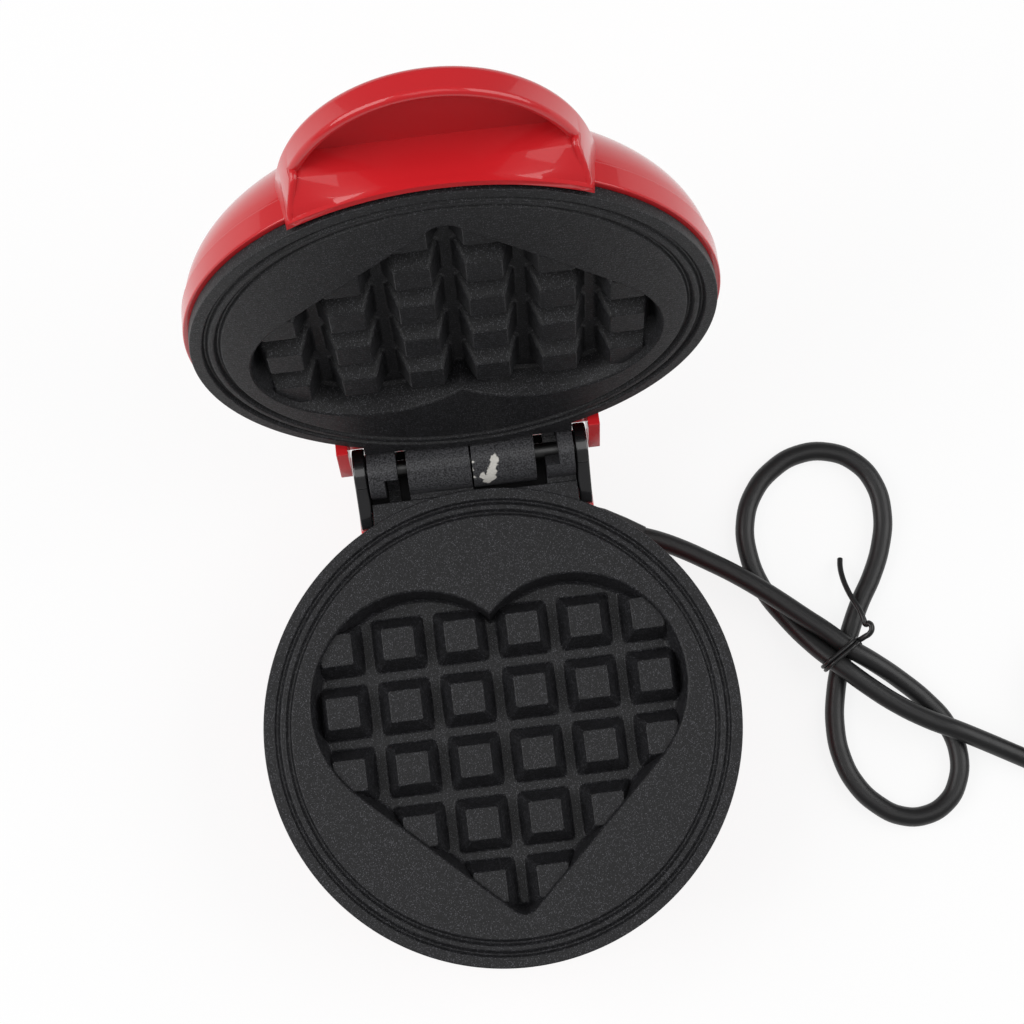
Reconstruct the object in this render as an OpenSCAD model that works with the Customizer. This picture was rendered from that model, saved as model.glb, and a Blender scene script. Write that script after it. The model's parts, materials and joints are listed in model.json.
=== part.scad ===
// Mini waffle maker: two round shells, two identical cast plates that
// interleave at the rear hinge, and a D-shaped lift handle.
// Origin: on the table, in the middle of the open machine. +X right, +Y to the hinge.

/* [Plates] */
// Radius of each cast plate over its rim
plate_r = 60; // [58:0.5:64]
// Height of the plates' meeting plane above the table
mate_h = 36; // [35:0.5:42]
// Gap between the two rims when closed
mate_gap = 0.4; // [0.2:0.1:0.8]
// Height of the rim's side wall, outside the shells
rim_h = 3.3; // [2.5:0.1:4]
// Depth of a casting below its rim, behind the mould
casting_h = 11; // [10.5:0.1:12]
// Depth of the heart mould
mould_depth = 7.5; // [6:0.1:8]
// Pitch of the waffle blocks
block_pitch = 15.8; // [15:0.1:17]
// Side of a block at its foot
block_foot = 13.2; // [12:0.1:14]
// Side of a block at its top
block_top = 8; // [6:0.1:9]
// Height of a block above the mould's floor
block_h = 6; // [4:0.1:6.5]
// Radius of each lobe of the heart
lobe_r = 28; // [26:0.5:29]
// Distance of each lobe's centre from the middle
lobe_x = 19.5; // [18:0.5:20]
// Distance of the lobes' centres behind the plate's centre
lobe_y = 8; // [6:0.5:9]
// Distance of the heart's tip in front of the plate's centre
tip_y = 47; // [44:0.5:48]

/* [Hinge] */
// Gap between the rim and the knuckles behind it
hinge_gap = 0.5; // [0.4:0.1:1.2]
// Radius of the knuckles
knuckle_r = 7.1; // [6.6:0.1:7.1]
// Radius of the hinge pin
pin_r = 2; // [1.5:0.1:2.5]
// Radial clearance of the pin
pin_clear = 0.05; // [0.02:0.01:0.1]
// How far the lid opens from closed
open_angle = 106.3; // [95:0.1:108]
// Outer end of the centre knuckle pair
inner_end = 16.2; // [12:0.1:16.4]
// Inner end of the outer knuckles
outer_start = 18.7; // [18.4:0.1:19]
// Outer end of the outer knuckles
outer_end = 26.1; // [24:0.1:26.1]
// Thickness of the black hinge cheeks
cheek_t = 3.2; // [2.5:0.1:3.3]

/* [Shells] */
// How far the base shell's lip stands inside the plates' rim
base_under = 0.4; // [0.2:0.1:2]
// How far the lid shell's lip stands outside the plates' rim
lid_over = 1.2; // [0.8:0.1:2]
// Wall thickness of both shells
wall = 2.2; // [1.8:0.1:2.6]
// Height of the straight band above each lip
band_h = 5.5; // [4:0.1:7]
// Height of the lid's crown above the meeting plane
crown_h = 34; // [32:0.5:36]
// Radius of the base's flat underside
sole_r = 43; // [40:0.5:46]
// Height of the rubber feet
foot_h = 4; // [3:0.5:5]
// Radius of the rubber feet
foot_r = 5; // [4:0.5:5.5]

/* [Handle] */
// Half width of the handle
handle_w = 34.3; // [32:0.1:35]
// How much narrower each side of the handle is at its lip
handle_flare = 1.5; // [0:0.1:2]
// How far the handle stands out in front of the plates' rim
handle_out = 24; // [20:0.5:28]
// Height of the handle's top above the meeting plane
handle_top = 15.3; // [14:0.1:17]
// Height of the arch over the finger gap
arch_z = 8.2; // [7.5:0.1:9]
// Wall of the handle
handle_t = 2.4; // [1.8:0.1:2.6]
// How far the handle's inner lip hangs past the shell's lip
lip_drop = 2.8; // [1:0.1:3]

/* [Heating] */
// Radius of the ring of each heating element
element_r = 36; // [33:0.5:40]
// Radius of the heating element's tube
element_tube = 3.2; // [2.5:0.1:3.4]
// Radius of the plate screws
screw_r = 1.5; // [1.2:0.1:2]

/* [Cord] */
// Diameter of the cord
cord_d = 5.1; // [4.8:0.1:5.2]

/* [Hidden] */
$fn = 64;

// Colours
red = [0.78, 0.07, 0.09];
coating = [0.16, 0.16, 0.17];
black = [0.05, 0.05, 0.05];
steel = [0.72, 0.72, 0.74];
rubber = [0.12, 0.12, 0.12];
ceramic = [0.88, 0.86, 0.80];

// A hair of overlap for cuts
eps = 0.01;

// Levels from the meeting plane, the same above it as below
face_z = mate_gap / 2;
lip_z = face_z + rim_h;
band_z = lip_z + band_h;
step_in = 0.7;
crown_flat = 18;
base_depth = mate_h - foot_h;

// Rings on the face of a casting, from the rim's flat land inwards
rim_land = 2.8;
groove_w = 1.3;
groove_depth = 0.9;
bead_w = 1.6;
bead_bevel = 0.35;
field_r = plate_r - rim_land - 2 * groove_w - bead_w;
tip_r = 4;
mould_taper = 0.955;
row_blocks = [2, 4, 6, 6, 6];

// Lips of the shells, and the back of a casting, which sits in either
base_r = plate_r - base_under;
lid_r = plate_r + lid_over;
seat_r = base_r - wall - 0.3;
seat_z = 7;
back_r = field_r;
boss_r = 4;
boss_at = 45;
boss_angles = [90, 215, 325];
boss_z = 18.5;

// Hinge tab and knuckles
hinge_back = plate_r + knuckle_r + hinge_gap;
tab_gap = 1.2;
tab_end = hinge_back - knuckle_r - tab_gap;
tab_drop = 0.5;
web_drop = 1.4;

// Stop: a finger of each casting, from one angle about the axis to another,
// turns in a notch of the other casting's outer knuckle
finger_w = 3;
finger_r = 3.6;
finger_from = 231;
finger_to = 250;
notch_w = 3.5;
notch_from = 360 - finger_to - open_angle - 2.5;
notch_to = 360 - finger_from + 2;

// Hinge cheeks, their saddle and the blocks behind the shells
cheek_in = outer_end + 0.4;
cheek_out = cheek_in + cheek_t;
cheek_r = 6;
cheek_front = 12.5;
cheek_rise = 5.5;
cheek_back = 5;
saddle_t = 0.9;
ear_in = cheek_out + 0.4;
ear_t = 2.9;
ear_out = ear_in + ear_t;
ear_front = plate_r - 6;
ear_back = hinge_back + 0.5;
ear_drop = 1;
ear_round = 1.5;
block_root = plate_r - 10;
block_back = 6.5;
block_wall = 2;
block_roof = 14;
block_low = 9.8;
block_round = 4;
block_sill = 4.2;
sill_z = 8.5;
rear_back = 6;
rear_half = 25;
rear_neck = 13;
rear_shoulder = 17;
pin_end = cheek_out - 0.4;

// The lid leans back by this much when it rests on its stop, and its crown then
// reaches this far behind the plates' centre
lean = open_angle - 90;
crown_rear = hinge_back + sin(lean) * (hinge_back + crown_flat) + cos(lean) * band_z
    + norm([sin(lean) * (lid_r - step_in - crown_flat), cos(lean) * (crown_h - band_z)]);
plate_y = (plate_r - crown_rear) / 2;

// Handle: its widest place, its lower edges and the scooped panel under it
handle_side = plate_r - 17;
handle_reach = plate_r + handle_out;
handle_low = lip_z - lip_drop;
handle_round = 2;
handle_roof = handle_top - handle_t;
panel_r = lid_r + 1.6;
panel_line = lid_r + 1;
panel_z = 7;
panel_flat = 0.92;

// Heating
element_z = casting_h + element_tube + 0.05;
element_gap = 60;
leg_r = 2.2;
leg_z = 24;
leg_turn = element_gap / 2 + asin((leg_r + 0.6) / element_r);
pan_t = 0.6;
pan_r = boss_at + boss_r + pan_t + 0.3;
pan_rim = 2.6;
disc_r = 8;
disc_h = 6;
lead_r = 1.3;

// Indicator on the crown
lens_y = -30;
lens_r = 3.2;
lens_flange = 1.2;
post_r = 1.8;
post_x = lens_r + lens_flange + post_r + 0.4;

board_z = leg_z;
board_t = 1.2;
lead_pass = [20, 44.5];

// Plug
plug_len = 30;
plug_z = 7;
blade_pitch = 12.7;
blade_t = 1.5;
blade_w = 6.3;
blade_len = 16;

// Feet, measured from the plates' centre
front_foot = (sole_r - 2) * [cos(47), -sin(47)];
rear_foot = [rear_half - 8, hinge_back - foot_r - 0.6];
stem_r = 2.4;

// Cord gland in the right side of the rear block
gland_y = hinge_back - 14.6;
gland_z = base_depth - 6.2;
gland_r = 3.4;
collar = 0.5;

// The strain relief's bend and the cord's route on the table: chosen points
relief_path = [[27.5, 19.4, 10.2], [32.5, 17.6, 10], [37.5, 15, 9.7], [42.5, 12.2, 9.4]];
relief_radii = [3.4, 3.3, 3.1, 2.8];
cord_path = [[42.5, 12.2, 9.4], [46.7, 10.6, 9.1], [53.1, 7.4, 8.6], [59.2, 3.7, 8.2],
    [65.2, -0.2, 7.9], [71.1, -4.6, 7.8], [76.8, -9.3, 7.8], [82.5, -14.3, 8], [87.3, -18.4, 8.2],
    [92.3, -23.1, 8.2], [98.7, -27.9, 7.2], [105.6, -33.5, 4.7], [112, -39.9, 3],
    [116.4, -46.4, 2.6], [118.5, -55.1, 2.6], [116.9, -62.3, 2.6], [113.6, -66.7, 2.6],
    [107.8, -69.4, 2.6], [101.1, -68.8, 2.6], [95.4, -65.2, 2.6], [90.6, -59.4, 2.6],
    [87.7, -51.6, 2.6], [87.2, -43, 2.6], [88.6, -34.6, 2.6], [91, -27.1, 2.6], [94.4, -19.5, 2.6],
    [98.1, -12.1, 2.6], [102.6, -4.8, 2.6], [106, 2.9, 2.6], [107.7, 11.1, 2.6],
    [106.6, 19.5, 2.6], [102.4, 25.8, 2.6], [95.5, 29.5, 2.6], [87.2, 29.7, 2.6],
    [80.3, 26.7, 2.6], [74.3, 21, 2.6], [70.9, 13.2, 2.6], [70.6, 4.7, 2.6], [73, -4.5, 2.6],
    [78, -13.3, 3.6], [84.4, -22.1, 6.6], [90.1, -28, 8.2], [96.2, -33.8, 8], [103.3, -39.7, 7.8],
    [110.9, -44.7, 7.8], [118, -48.4, 7.7], [125.1, -52.2, 6.2], [132.2, -56.1, 4.4],
    [139, -59.9, 3.2], [145.8, -63.7, 2.6], [152.5, -67.4, 2.6]];
coil_at = [172.4, -46.9];
coil_r = 25;
coil_rings = 2;
plug_at = [coil_at[0] + coil_r + cord_d / 2, -26];
tie_at = [90.5, -25.2];
tie_turn = -58;
tie_tail = [[95.3, -22.2, 8.3], [97.2, -21.2, 10.6], [98.5, -19.5, 11.4], [97.3, -16.1, 10.4],
    [95.7, -11.2, 8], [94.5, -5.3, 4.6], [94.9, 0.6, 1.4]];

function unit(v) = v / norm(v);
function tangent(p, i) = i == 0 ? unit(p[1] - p[0])
    : i == len(p) - 1 ? unit(p[i] - p[i - 1])
    : unit(unit(p[i + 1] - p[i]) + unit(p[i] - p[i - 1]));
function ring(p, i, r, n, up) =
    let (t = tangent(p, i), side = unit(cross(t, up)), top = cross(side, t))
    [for (k = [0:n - 1]) p[i] + r * (cos(360 * k / n) * side + sin(360 * k / n) * top)];

// Skin over rings of equally many points, closed at both ends
module skin(rings) {
    n = len(rings[0]);
    m = len(rings);
    polyhedron([for (r = rings) each r],
        [[for (k = [n - 1:-1:0]) k],
         [for (k = [0:n - 1]) (m - 1) * n + k],
         for (i = [0:m - 2], k = [0:n - 1])
             each [[i * n + k, i * n + (k + 1) % n, (i + 1) * n + k],
                   [i * n + (k + 1) % n, (i + 1) * n + (k + 1) % n, (i + 1) * n + k]]]);
}

// Tube of one radius, or of one radius per point, along a path
module tube(path, r, sides = 8, up = [0, 0, 1]) {
    skin([for (i = [0:len(path) - 1]) ring(path, i, is_list(r) ? r[i] : r, sides, up)]);
}

// The base, and the lid leaning on its stop: both are drawn as if closed
module in_base() translate([0, plate_y, mate_h]) mirror([0, 0, 1]) children();
module in_lid() {
    translate([0, plate_y + hinge_back, mate_h]) rotate([-open_angle, 0, 0])
        translate([0, -hinge_back, 0]) children();
}

// Rod along X through the hinge axis, from one x to another
module rod(x0, x1, r) {
    translate([x0, hinge_back, 0]) rotate([0, 90, 0]) cylinder(h = x1 - x0, r = r);
}

// Slab whose outline is drawn in Y and Z, from one x to another
module side_slab(x0, x1) {
    translate([x0, 0, 0]) rotate([90, 0, 90]) linear_extrude(x1 - x0) children();
}

// ---- Cast plates ----

// Heart: two round lobes, straight flanks and a small round tip
function heart_flank() =
    let (dx = -lobe_x, dy = -tip_y + tip_r - lobe_y)
    atan2(dy, dx) + acos((lobe_r - tip_r) / norm([dx, dy]));
function heart_half() =
    let (notch = acos(-lobe_x / lobe_r), flank = heart_flank(), steps = 15, ends = 3)
    concat([for (i = [1:steps]) let (a = notch + (flank - notch) * i / steps)
                [lobe_x + lobe_r * cos(a), lobe_y + lobe_r * sin(a)]],
           [for (i = [0:ends]) let (a = flank + (-90 - flank) * i / ends)
                [tip_r * cos(a), -tip_y + tip_r + tip_r * sin(a)]]);
module heart() {
    half = heart_half();
    notch_y = lobe_y + sqrt(lobe_r * lobe_r - lobe_x * lobe_x);
    polygon(concat([[0, notch_y]], half,
        [for (i = [len(half) - 2:-1:0]) [-half[i][0], half[i][1]]]));
}

// One waffle block, a square frustum rising from z = 0
module block() {
    root = 0.5;
    draft = (block_foot - block_top) / block_h;
    foot = block_foot + draft * root;
    translate([0, 0, -root])
        linear_extrude(block_h + root, scale = block_top / foot) square(foot, center = true);
}

// The hollow of the mould: the heart less its rows of blocks
module mould_hollow() {
    difference() {
        translate([0, 0, -face_z + eps]) mirror([0, 0, 1])
            linear_extrude(mould_depth, scale = mould_taper) heart();
        for (row = [0:len(row_blocks) - 1], i = [0:row_blocks[row] - 1])
            translate([(i - (row_blocks[row] - 1) / 2) * block_pitch,
                       (row - len(row_blocks) / 2) * block_pitch,
                       -mould_depth - face_z])
                block();
    }
}

// Face rings and stepped back of a casting, face up
module casting_disc() {
    t = -face_z;
    low = t - groove_depth;
    bead = field_r + groove_w;
    outer = bead + bead_w;
    rim = outer + groove_w;
    b = bead_bevel;
    rotate_extrude($fn = 128)
        polygon([[0, t], [field_r, t], [field_r + b, low], [bead - b, low], [bead, t - b],
            [bead + b, t], [outer - b, t], [outer, t - b], [outer + b, low], [rim - b, low],
            [rim, t], [plate_r - b, t], [plate_r, t - b], [plate_r, -lip_z], [seat_r, -lip_z],
            [seat_r, -seat_z], [back_r, -seat_z], [back_r - 1, -casting_h], [0, -casting_h]]);
}

// Tab at the back of a casting, outside its rings
module hinge_tab() {
    difference() {
        translate([-outer_end, block_root, -seat_z])
            cube([2 * outer_end, tab_end - block_root, seat_z - face_z - tab_drop]);
        translate([0, 0, -seat_z - eps]) cylinder(h = seat_z, r = plate_r - 1, $fn = 128);
    }
}

// A knuckle and the web that carries it from the tab, with its top a step lower
module knuckle(x0, x1) {
    rod(x0, x1, knuckle_r);
    translate([x0, tab_end - 1, -seat_z])
        cube([x1 - x0, hinge_back - tab_end + 1, seat_z - face_z - web_drop]);
}

// Cleared sector of the outer knuckle, which bares the pin
module stop_notch() {
    side_slab(outer_start - eps, outer_start + notch_w)
        translate([hinge_back, 0]) polygon(concat([[0, 0]],
            [for (i = [0:6]) let (a = notch_from + (notch_to - notch_from) * i / 6)
                (knuckle_r + 2) * [cos(a), sin(a)]]));
}

// Finger that stands in the other casting's notch, from the foot of the tab
module stop_finger() {
    near = finger_r * [cos(finger_to), sin(finger_to)];
    rise = finger_r * [cos(finger_from), sin(finger_from)];
    out = (knuckle_r + 0.4) * [cos(finger_from), sin(finger_from)];
    side_slab(-outer_start - 0.1 - finger_w, -outer_start - 0.1) translate([hinge_back, 0])
        polygon([[tab_end - hinge_back - 1, -seat_z], [tab_end - hinge_back - 1, -seat_z + 1.8],
            out, rise, near, [-seat_z / tan(finger_to), -seat_z]]);
}

// One casting, face up, hinge to the rear: both plates are this part
module casting() {
    difference() {
        union() {
            difference() {
                casting_disc();
                mould_hollow();
            }
            hinge_tab();
            knuckle(-inner_end, -0.2);
            knuckle(outer_start, outer_end);
            stop_finger();
            for (a = boss_angles) rotate(a) translate([boss_at, 0, -boss_z])
                cylinder(h = boss_z - seat_z, r = boss_r);
        }
        rod(-inner_end - 1, outer_end + 1, pin_r + pin_clear);
        stop_notch();
        for (a = boss_angles) rotate(a) translate([boss_at, 0, -boss_z - eps])
            cylinder(h = boss_z - casting_h + 2, r = screw_r + pin_clear);
    }
}

module lower_plate() color(coating) translate([0, plate_y, mate_h]) casting();
module upper_plate() color(coating) in_lid() rotate([0, 180, 0]) casting();

// ---- Shells, drawn with the meeting plane at z = 0 and the crown up ----

// Solid bowl: lip, straight band, a small step, then a quarter oval to a flat
module bowl(r, flat_r, depth, inset = 0) {
    steps = 16;
    shoulder = r - inset - step_in;
    rise = depth - inset - band_z;
    rotate_extrude($fn = 96)
        polygon(concat([[0, lip_z - (inset > 0 ? 1 : 0)], [r - inset, lip_z - (inset > 0 ? 1 : 0)],
            [r - inset, band_z], [shoulder, band_z]],
            [for (i = [1:steps]) [flat_r + (shoulder - flat_r) * cos(90 * i / steps),
                band_z + rise * sin(90 * i / steps)]],
            [[0, depth - inset]]));
}

module lid_bowl(inset = 0) bowl(lid_r, crown_flat, crown_h, inset);
module base_bowl(inset = 0) bowl(base_r, sole_r, base_depth, inset);

// Block at the back of the lid: a roof over the hinge, and an ear down each side
module lid_block() {
    back = hinge_back + block_back;
    side_slab(-ear_out, ear_out) polygon(concat(
        [[ear_front, -ear_drop], [ear_front, lip_z], [block_root, lip_z], [block_root, block_roof]],
        [for (a = [90:-15:0]) [back - block_round + block_round * cos(a),
            block_roof - block_round + block_round * sin(a)]],
        [[back, block_low], [ear_back, block_low]],
        [for (a = [0:-15:-90]) [ear_back - ear_round + ear_round * cos(a),
            ear_round - ear_drop + ear_round * sin(a)]]));
}

// Room in that block for the knuckles and cheeks
module lid_block_room() {
    roof = block_roof - block_wall;
    low = -ear_drop - 1;
    translate([-ear_in, block_root + wall, low])
        cube([2 * ear_in, hinge_back + block_back - block_wall - block_root - wall, roof - low]);
    translate([-ear_in, block_root, low])
        cube([2 * ear_in, ear_back - block_root + 1, block_sill - low]);
}

module lid_shell() color(red) in_lid() difference() {
    union() {
        difference() {
            union() {
                lid_bowl();
                lid_block();
            }
            lid_bowl(wall);
            lid_block_room();
        }
        intersection() {
            lid_bowl();
            for (s = [-1, 1]) translate([s * post_x, lens_y, leg_z])
                cylinder(h = crown_h, r = post_r);
        }
    }
    translate([0, lens_y, crown_h - 12]) cylinder(h = 14, r = lens_r + pin_clear);
}

// Block behind the base, which carries the cheeks, the cord gland and the rear feet
module rear_block(inset = 0) {
    top = sill_z + inset;
    translate([0, hinge_back + rear_back - inset, 0]) rotate([90, 0, 0])
        linear_extrude(hinge_back + rear_back - inset - block_root + 14)
            polygon([[-ear_in + inset, top], [ear_in - inset, top],
                [ear_in - inset, rear_neck + inset / 2], [rear_half - inset, rear_shoulder],
                [rear_half - inset, base_depth - inset], [-rear_half + inset, base_depth - inset],
                [-rear_half + inset, rear_shoulder], [-ear_in + inset, rear_neck + inset / 2]]);
}

function feet() = [[-1, front_foot], [1, front_foot], [-1, rear_foot], [1, rear_foot]];

module base_shell() color(red) in_base() difference() {
    union() {
        difference() {
            union() {
                base_bowl();
                rear_block();
            }
            base_bowl(wall);
            rear_block(wall);
        }
        for (a = boss_angles) rotate(a) translate([boss_at, 0, boss_z + pan_t])
            cylinder(h = base_depth - wall / 2 - boss_z - pan_t, r = boss_r);
    }
    translate([-outer_end - 0.3, block_root - 5, 0])
        cube([2 * outer_end + 0.6, 20, sill_z]);
    for (a = boss_angles) rotate(a) translate([boss_at, 0, boss_z]) {
        cylinder(h = base_depth, r = screw_r + pin_clear);
        translate([0, 0, base_depth - boss_z - 4]) cylinder(h = 5, r = 2 * screw_r + 0.3);
    }
    for (f = feet()) translate([f[0] * f[1][0], f[1][1], base_depth - wall - 1])
        cylinder(h = wall + 2, r = stem_r + pin_clear);
    translate([rear_half - wall - 1, gland_y, gland_z]) rotate([0, 90, 0])
        cylinder(h = wall + 2, r = gland_r + pin_clear);
}

// A rubber foot with its stem through the sole
module foot(side, at) {
    color(rubber) translate([side * at[0], plate_y + at[1], 0]) {
        cylinder(h = foot_h, r = foot_r);
        cylinder(h = foot_h + wall + 0.8, r = stem_r);
    }
}
module foot_front_left() foot(-1, front_foot);
module foot_front_right() foot(1, front_foot);
module foot_rear_left() foot(-1, rear_foot);
module foot_rear_right() foot(1, rear_foot);

// ---- Hinge ----

// Gloss cheek that carries the pin: a lobe on the axis and a foot on the rear block
module cheek(side) {
    x0 = side > 0 ? cheek_in : -cheek_out;
    color(black) translate([0, plate_y, mate_h]) difference() {
        side_slab(x0, x0 + cheek_t) translate([hinge_back, 0]) {
            circle(cheek_r);
            polygon([[-cheek_front, -sill_z], [cheek_back, -sill_z], [cheek_back, 0],
                [-cheek_r * sin(30), cheek_r * cos(30)], [-cheek_front + 1, cheek_rise - sill_z],
                [-cheek_front, cheek_rise - sill_z - 1]]);
        }
        rod(x0 - 1, x0 + cheek_t + 1, pin_r + pin_clear);
    }
}
module hinge_cheek_left() cheek(-1);
module hinge_cheek_right() cheek(1);

// Black plate between the cheeks that closes the block's top under the knuckles
module hinge_saddle() color(black) translate([0, plate_y, mate_h - sill_z])
    translate([-cheek_in, tab_end - 1, 0])
        cube([2 * cheek_in, hinge_back + rear_back - tab_end + 0.5, saddle_t]);

module hinge_pin() color(steel) translate([0, plate_y, mate_h]) rod(-pin_end, pin_end, pin_r);

// ---- Handle, drawn as if closed ----

// Outline of the handle from above: the front half of an oval
function handle_outline(inset, narrow) =
    let (w = handle_w - inset - narrow, deep = handle_reach - inset - handle_side, steps = 24)
    [for (i = [0:steps]) let (a = 180 * i / steps) [w * cos(a), -handle_side - deep * sin(a)]];

// Skin over that outline at pairs of a level and an inset, with flaring sides
module handle_skin(pairs) {
    full = handle_top - handle_round;
    skin([for (v = pairs) [for (q = handle_outline(v[1],
        handle_flare * max(0, full - v[0]) / (full - handle_low))) [q[0], q[1], v[0]]]]);
}

// Outer form, with its top edge rounded over
module handle_form() {
    turns = 4;
    handle_skin(concat([[handle_low, 0]], [for (i = [0:turns]) let (a = 90 * i / turns)
        [handle_top - handle_round + handle_round * sin(a), handle_round * (1 - cos(a))]]));
}

// Panel under the finger gap: an arc along the lip that straightens as it rises
module handle_panel() {
    steps = 12;
    w = handle_w + 1;
    function level(z, f) = concat([for (i = [-steps:steps])
        let (x = -w * i / steps, arc = sqrt(panel_r * panel_r - x * x))
        [x, -arc - f * (panel_line - arc), z]], [[-w, -handle_side + 5, z], [w, -handle_side + 5, z]]);
    skin([level(-11, 0), level(handle_low + 1, 0), level(panel_z, panel_flat),
        level(handle_top + 2, panel_flat)]);
}

// Everything in front of the panel: inside the band, and under its lower edge
module finger_gap() {
    difference() {
        union() {
            handle_skin([[-10, handle_t], [handle_roof, handle_t]]);
            translate([-handle_w - 1, -handle_reach - 1, -10])
                cube([2 * handle_w + 2, handle_out + 17, arch_z + 10]);
        }
        handle_panel();
    }
}

module handle() color(red) in_lid() difference() {
    handle_form();
    finger_gap();
    lid_bowl();
    translate([0, 0, -1]) cylinder(h = lip_z + 1 + eps, r = lid_r, $fn = 96);
}

// ---- Heating, drawn under a casting and away from it in +Z ----

// Sheathed ring with two cold legs through the reflector
module element() {
    from = 90 + element_gap / 2;
    translate([0, 0, element_z]) {
        rotate(from) rotate_extrude(angle = 360 - element_gap, $fn = 96)
            translate([element_r, 0]) circle(element_tube);
        for (s = [-1, 1]) rotate(90 + s * leg_turn) translate([element_r, 0, 0])
            cylinder(h = leg_z - element_z, r = leg_r);
    }
}

// Thin pan that turns the heat back, with holes for the legs and screws
module reflector(centre_hole) {
    difference() {
        translate([0, 0, boss_z]) difference() {
            cylinder(h = pan_rim, r = pan_r);
            translate([0, 0, pan_t]) cylinder(h = pan_rim, r = pan_r - pan_t);
        }
        translate([0, 0, boss_z - 1]) {
            if (centre_hole) cylinder(h = 5, r = disc_r + 2);
            for (a = boss_angles) rotate(a) translate([boss_at, 0, 0])
                cylinder(h = 5, r = screw_r + pin_clear);
            for (s = [-1, 1]) {
                rotate(90 + s * leg_turn) translate([element_r, 0, 0])
                    cylinder(h = 5, r = leg_r + 1);
                translate([s * lead_pass[0], lead_pass[1], 0]) cylinder(h = 5, r = lead_r + 1);
            }
        }
    }
}

module lower_element() color(steel) in_base() element();
module upper_element() color(steel) in_lid() element();
module lower_reflector() color(steel) in_base() reflector(true);
module upper_reflector() color(steel) in_lid() reflector(false);

// Screws from the sole, through the posts and the pan, into the lower casting
module plate_screws() color(steel) in_base() for (a = boss_angles)
    rotate(a) translate([boss_at, 0, 0]) {
        translate([0, 0, casting_h]) cylinder(h = base_depth - 4 - casting_h, r = screw_r);
        translate([0, 0, base_depth - 4]) cylinder(h = 2, r = 2 * screw_r);
    }

// Short screws that hold the upper pan to its casting
module reflector_screws() color(steel) in_lid() for (a = boss_angles)
    rotate(a) translate([boss_at, 0, 0]) {
        translate([0, 0, casting_h]) cylinder(h = boss_z + pan_t - casting_h, r = screw_r);
        translate([0, 0, boss_z + pan_t]) cylinder(h = 1.6, r = 2 * screw_r);
    }

// Disc thermostat on the casting's back, in its strap
module thermostat() color(ceramic) in_base() translate([0, 0, casting_h]) {
    cylinder(h = disc_h, r = disc_r);
    for (s = [-1, 1]) translate([s * 4 - 0.4, -2.5, disc_h]) cube([0.8, 5, 7]);
}
module thermostat_clip() color(steel) in_base() translate([0, 0, casting_h]) difference() {
    union() {
        translate([-disc_r - 6, -3, 0]) cube([2 * disc_r + 12, 6, 0.8]);
        translate([-disc_r - 1, -3, 0]) cube([2 * disc_r + 2, 6, disc_h + 0.8]);
    }
    translate([0, 0, -1]) cylinder(h = disc_h + 1, r = disc_r);
    for (s = [-1, 1]) translate([s * 4, 0, 0]) cube([3, 5.4, 30], center = true);
}

module thermal_fuse() color(steel) in_base()
    translate([-6, 22, boss_z + pan_t + 2]) rotate([0, 90, 0]) cylinder(h = 12, r = 2, $fn = 32);

module terminal_block() color(ceramic) in_base() translate([-14, 58, base_depth - wall - 9])
    difference() {
        cube([28, 9, 9]);
        for (i = [-1:1]) translate([14 + i * 9, -1, 4.5]) rotate([-90, 0, 0])
            cylinder(h = 11, r = lead_r + pin_clear, $fn = 32);
    }

// Wires inside the base: each joins two things that carry current
lead_top = leg_z + lead_r;
block_z = base_depth - wall - 4.5;
leg_x = element_r * sin(leg_turn);
leg_y = element_r * cos(leg_turn);
fuse_z = boss_z + pan_t + 2;
tab_z = casting_h + disc_h + 7;
module base_leads() color(black) in_base() {
    tube([[-9, 58, block_z], [-10, 46, 25.5], [-12, 34, 24.5], [-11, 25, 22.5], [-6, 22, fuse_z]],
        lead_r);
    tube([[6, 22, fuse_z], [10, 17, 22.5], [9.5, 8, tab_z], [4.5, 2, tab_z + 0.5]], lead_r);
    tube([[-4.5, 2, tab_z + 0.5], [-12, 6, 25], [-21, 15, lead_top], [-21, 26, lead_top],
        [-leg_x, leg_y, lead_top]], lead_r);
    tube([[leg_x, leg_y, lead_top], [17, 40, 26], [12, 50, 26], [9, 58, block_z]], lead_r);
    tube([[rear_half - wall - 3.5, gland_y, gland_z], [18, 57.5, gland_z], [16.5, 61, block_z],
        [14, 62.5, block_z]], lead_r * 1.6);
}

// Wires inside the lid, from the hinge to the element and the indicator
module lid_leads() color(black) in_lid() {
    for (s = [-1, 1]) tube([[s * 22, 64, 9], [s * 21.5, 58, 9.4], [s * 21, 53.5, 10.2],
        [s * 20.5, 49, 12.8], [s * lead_pass[0], lead_pass[1], boss_z], [s * 19.5, 39, 23.5],
        [s * leg_x, leg_y, lead_top]], lead_r, up = [1, 0, 0]);
    tube([[-leg_x, leg_y, lead_top], [-15, 12, 27], [-9, -10, 26.5], [-6.5, -24, board_z + 0.8]],
        lead_r * 0.6);
}

// Round lens through the crown, and the lamp board on two posts under it
module indicator_lens() color("orange") in_lid() translate([0, lens_y, 0]) {
    translate([0, 0, crown_h - 5.8]) cylinder(h = 1, r = lens_r + lens_flange);
    translate([0, 0, crown_h - 5]) cylinder(h = 4.2, r = lens_r);
    translate([0, 0, crown_h - 0.8]) cylinder(h = 0.7, r1 = lens_r, r2 = lens_r - 0.8);
}
module indicator_board() color("green") in_lid() translate([0, lens_y, board_z]) {
    translate([-post_x - post_r, -6, -board_t]) cube([2 * (post_x + post_r), 12, board_t]);
    cylinder(h = 3, r = 1.5);
}

// ---- Cord and what is on it ----

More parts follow.
